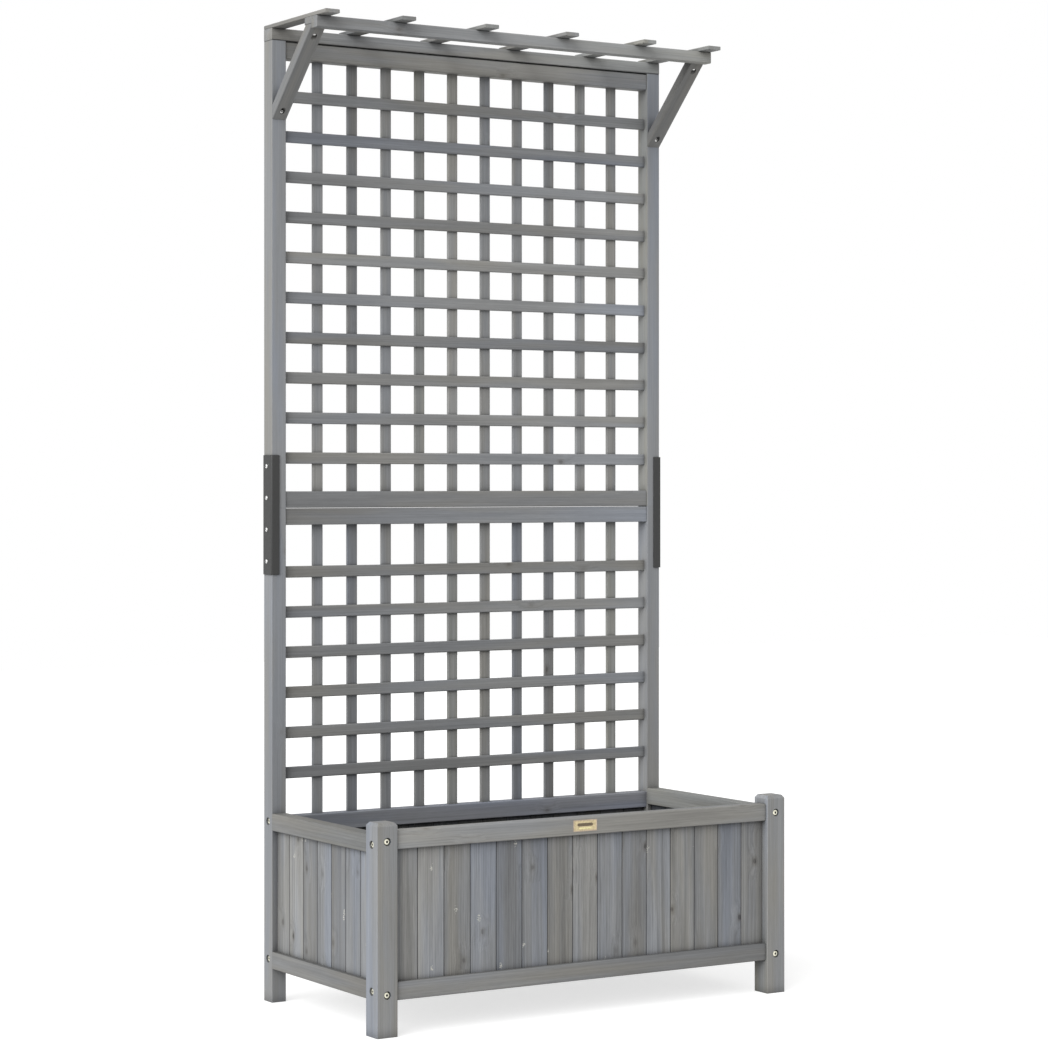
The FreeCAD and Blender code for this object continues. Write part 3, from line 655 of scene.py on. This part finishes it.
def round_edges(piece, width):
    """Round off a piece's sharp edges."""
    weld = piece.modifiers.new("weld", "WELD")
    weld.merge_threshold = 0.00001
    bevel = piece.modifiers.new("bevel", "BEVEL")
    bevel.width = width
    bevel.segments = 2
    bevel.limit_method = "ANGLE"
    bevel.angle_limit = math.radians(30)
    bevel.use_clamp_overlap = True


for side in ("left", "right"):
    round_edges(dress(f"splice_bracket_{side}", POWDER_COAT), BRACKET_ROUNDING)


# ---- Bolts and screws --------------------------------------------------------------------

DOME_STEPS = 6
DOME_STEP = 14  # degrees
RECESS_LIP = 0.0002


def hexagonal(angle):
    return 1 / math.cos((angle + math.pi / 6) % (math.pi / 3) - math.pi / 6)


def crossed(angle):
    """Four narrow lobes, as a cross recess has."""
    return 0.42 + 0.58 * abs(math.cos(2 * angle)) ** 3


def dome(head, height, recess, recess_depth, shape, shank, length):
    """Rings (radius, height, shape of the ring or None) of a bolt or screw, from the tip of its
    shank, around a domed head, into its recess."""
    radius = head / 2
    rings = [
        (shank * 0.15, length, None),
        (shank / 2, length - shank, None),
        (shank / 2, 0.0, None),
        (radius, 0.0, None),
    ]
    rim = height * 0.3
    steepest = math.radians(DOME_STEP * DOME_STEPS)
    for step in range(1, DOME_STEPS + 1):
        angle = math.radians(DOME_STEP * step)
        reach = max(radius * math.cos(angle) ** 0.6, recess / 2 * 1.25)
        rings.append((reach, -rim - (height - rim) * math.sin(angle) / math.sin(steepest), None))
    rings.append((recess / 2 * 1.12, -height, shape))
    rings.append((recess / 2, -height + RECESS_LIP, shape))
    rings.append((recess / 2 * 0.94, -height + recess_depth, shape))
    return rings


def lathe(mesh, rings, place, sides=32):
    """Turn rings around an axis into a closed skin, dark at the bottom of its recess."""
    loops = []
    for radius, height, shape in rings:
        loop = []
        for index in range(sides):
            angle = 2 * math.pi * index / sides
            reach = radius * (shape(angle) if shape else 1)
            point = place @ Vector((reach * math.cos(angle), reach * math.sin(angle), height))
            loop.append(mesh.verts.new(point))
        loops.append(loop)
    recess_floor = skin(mesh, loops, smooth=True)
    for edge in recess_floor.edges:
        for face in edge.link_faces:
            face.material_index = 1


def aimed(seat, direction):
    turn = Vector(ALONG_Z).rotation_difference(Vector(direction)).to_matrix().to_4x4()
    return Matrix.Translation(seat) @ turn


def fasteners(name, node, material, rings, seats):
    """Draw a node's fasteners at their seats (place, direction) on the left side, and mirrored."""
    mesh = bmesh.new()
    for (seat_x, *seat), (way_x, *way) in seats:
        for mirror in (1, -1):
            lathe(mesh, rings, aimed((seat_x * mirror, *seat), (way_x * mirror, *way)))
    piece = new_piece(name, mesh, (material, SOCKET_SHADE))
    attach(piece, "root")
    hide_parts(node)


def middle(node, axis):
    low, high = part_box(node)
    return (low[axis] + high[axis]) / 2


leg_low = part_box("front_leg_left")[0]
post_low, post_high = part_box("rear_post_lower_left")
leg_x, leg_y = middle("front_leg_left", 0), middle("front_leg_left", 1)
post_x, post_y = middle("rear_post_lower_left", 0), middle("rear_post_lower_left", 1)
bolt_seats = []
for level in FORWARD_BOLT_LEVELS:
    bolt_seats.append(((leg_x, leg_low[1] + BOLT_RECESS_DEPTH, level), (0, 1, 0)))
    bolt_seats.append(((post_x, post_high[1] - BOLT_RECESS_DEPTH, level), (0, -1, 0)))
for level in SIDEWAYS_BOLT_LEVELS:
    bolt_seats.append(((leg_low[0] + BOLT_RECESS_DEPTH, leg_y, level), (1, 0, 0)))
    bolt_seats.append(((post_low[0] + BOLT_RECESS_DEPTH, post_y, level), (1, 0, 0)))
bolt_rings = dome(
    BOLT_HEAD, BOLT_HEAD_HEIGHT, BOLT_SOCKET, BOLT_SOCKET_DEPTH, hexagonal, BOLT_SHANK, BOLT_LENGTH
)
fasteners("corner_bolt_heads", "corner_bolts", YELLOW_ZINC, bolt_rings, bolt_seats)

bracket_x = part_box("splice_bracket_left")[0][0]
bracket_seats = [((bracket_x, post_y, level), (1, 0, 0)) for level in BRACKET_SCREW_LEVELS]
brace_seats = [((post_x, *BRACE_FOOT_SCREW), (0, 1, 0)), ((post_x, *BRACE_HEAD_SCREW), (0, 0, 1))]
screw_kinds = [
    ("bracket_screw_heads", "bracket_screws", BRACKET_HEAD_HEIGHT, BRACKET_SCREW_LENGTH, bracket_seats),
    ("brace_screw_heads", "brace_screws", BRACE_HEAD_HEIGHT, BRACE_SCREW_LENGTH, brace_seats),
]
for name, node, height, length, seats in screw_kinds:
    rings = dome(SCREW_HEAD, height, SCREW_CROSS, SCREW_CROSS_DEPTH, crossed, SCREW_SHANK, length)
    fasteners(name, node, BRIGHT_ZINC, rings, seats)
for node in ("rafter_screws", "post_top_screws"):
    dress(node, BRIGHT_ZINC)


# ---- Blank brass plate on the front top rail ---------------------------------------------

PLATE_MIDDLE = (-0.007, 0.3342)  # X, Z
PLATE_SIZE = (0.050, 0.0205)
PLATE_THICKNESS = 0.0007
PLATE_RIM = 0.0016
PLATE_EDGE = 0.0003
PLATE_CORNER = 0.0012
PLATE_INNER_CORNER = 0.0004
PLATE_FIELD_RISE = PLATE_THICKNESS * 0.6
PLATE_BAR_RISE = PLATE_THICKNESS * 0.3
PLATE_MATERIALS = (BRASS, BRASS_FIELD, PLATE_INK, PLATE_LINE)
PLATE_BARS = ((0.0016, 0.034, 0.0056, 2), (-0.0046, 0.026, 0.0022, 3))  # up, length, width, material


def rounded_outline(width, height, corner, steps=4):
    points = []
    for quarter, (sx, sz) in enumerate(((1, 1), (-1, 1), (-1, -1), (1, -1))):
        for step in range(steps + 1):
            angle = math.radians(90 * quarter + 90 * step / steps)
            x = sx * (width / 2 - corner) + corner * math.cos(angle)
            z = sz * (height / 2 - corner) + corner * math.sin(angle)
            points.append((x, z))
    return points


def pointed_outline(length, width):
    """A bar with pointed ends."""
    end, tip = length / 2, width / 2
    return [(end, 0), (end - tip, tip), (tip - end, tip), (-end, 0), (tip - end, -tip), (end - tip, -tip)]


def plate_loop(mesh, outline, front, up=0.0):
    """Corners of an outline around the plate's middle, on a plane that faces the front."""
    middle_x, middle_z = PLATE_MIDDLE
    return [mesh.verts.new((middle_x + x, front, middle_z + up + z)) for x, z in outline]


def make_plate():
    rail_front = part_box("front_top_rail")[0][1]
    steps = [  # inset, rise from the rail
        (0.0, 0.0),
        (0.0, PLATE_THICKNESS * 0.7),
        (PLATE_EDGE, PLATE_THICKNESS),
        (PLATE_RIM, PLATE_THICKNESS),
        (PLATE_RIM + PLATE_EDGE, PLATE_FIELD_RISE),
    ]
    mesh = bmesh.new()
    loops = []
    for inset, rise in steps:
        corner = max(PLATE_INNER_CORNER, PLATE_CORNER - inset)
        outline = rounded_outline(PLATE_SIZE[0] - 2 * inset, PLATE_SIZE[1] - 2 * inset, corner)
        loops.append(plate_loop(mesh, outline, rail_front - rise))
    field = skin(mesh, loops)
    field.material_index = 1
    for up, length, width, slot in PLATE_BARS:
        outline = pointed_outline(length, width)
        base = rail_front - PLATE_FIELD_RISE
        ends = [plate_loop(mesh, outline, base - rise, up) for rise in (0.0, PLATE_BAR_RISE)]
        skin(mesh, ends, slot=slot)
    plate = new_piece("blank_plate", mesh, PLATE_MATERIALS)
    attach(plate, "root")


make_plate()


# ---- Floor, light and camera -------------------------------------------------------------

WHITE = (1, 1, 1, 1)
WORLD_LIGHT = (0.505, 0.503, 0.50, 1)
SUN_STRENGTH = 2.7
SUN_SPREAD = math.radians(50)
SUN_COLOUR = (0.995, 1.0, 1.0)
TOWARDS_SUN = (-0.80, -0.40, 0.46)
FLOOR_REACH = 9.0
FLOOR_LEVEL = -0.0004
FLOOR_COLOUR = (0.62, 0.62, 0.62, 1)
FLOOR_GLOW = 0.68  # to the camera, so that the lit floor is white and keeps its shadow


def white_to_view(tree):
    """One for rays from the camera, from gloss and through glass, and zero for the rest."""
    path = add(tree, "ShaderNodeLightPath").outputs
    seen = calc(tree, "MAXIMUM", path["Is Camera Ray"], path["Is Glossy Ray"])
    return calc(tree, "MAXIMUM", seen, path["Is Transmission Ray"])


def make_floor():
    data = bpy.data.meshes.new("floor")
    sides = ((-1, -1), (1, -1), (1, 1), (-1, 1))
    data.from_pydata([(x * FLOOR_REACH, y * FLOOR_REACH, FLOOR_LEVEL) for x, y in sides], [], [(0, 1, 2, 3)])
    floor = bpy.data.objects.new("floor", data)
    bpy.context.collection.objects.link(floor)
    material = bpy.data.materials.new("pale_floor")
    material.use_nodes = True
    tree = material.node_tree
    tree.nodes.remove(tree.nodes["Principled BSDF"])
    lit = add(tree, "ShaderNodeBsdfDiffuse", {"Color": FLOOR_COLOUR}).outputs[0]
    glow = add(tree, "ShaderNodeEmission", {"Color": WHITE, "Strength": FLOOR_GLOW}).outputs[0]
    both = add(tree, "ShaderNodeAddShader", {0: lit, 1: glow}).outputs[0]
    shown = add(tree, "ShaderNodeMixShader", {0: white_to_view(tree), 1: lit, 2: both}).outputs[0]
    tree.links.new(shown, tree.nodes["Material Output"].inputs["Surface"])
    data.materials.append(material)


def make_light():
    world = bpy.data.worlds.new("studio")
    bpy.context.scene.world = world
    world.use_nodes = True
    tree = world.node_tree
    background = tree.nodes["Background"]
    shade = blend(tree, "MIX", white_to_view(tree), WORLD_LIGHT, WHITE)
    tree.links.new(shade, background.inputs["Color"])
    background.inputs["Strength"].default_value = 1.0
    key = bpy.data.lights.new("key", "SUN")
    key.energy = SUN_STRENGTH
    key.angle = SUN_SPREAD
    key.color = SUN_COLOUR
    lamp = bpy.data.objects.new("key", key)
    towards = Vector(TOWARDS_SUN).normalized()
    lamp.rotation_euler = Vector(ALONG_Z).rotation_difference(towards).to_euler()
    bpy.context.collection.objects.link(lamp)


def make_camera():
    data = bpy.data.cameras.new("camera")
    data.lens = CAMERA_LENS
    data.sensor_width = CAMERA_SENSOR
    data.shift_y = CAMERA_SHIFT_Y
    data.clip_end = CAMERA_REACH
    camera = bpy.data.objects.new("camera", data)
    camera.location = CAMERA_PLACE
    camera.rotation_euler = (math.radians(90), 0, -CAMERA_YAW)
    bpy.context.collection.objects.link(camera)
    bpy.context.scene.camera = camera


make_floor()
make_light()
make_camera()
bpy.context.scene.view_settings.view_transform = "Standard"
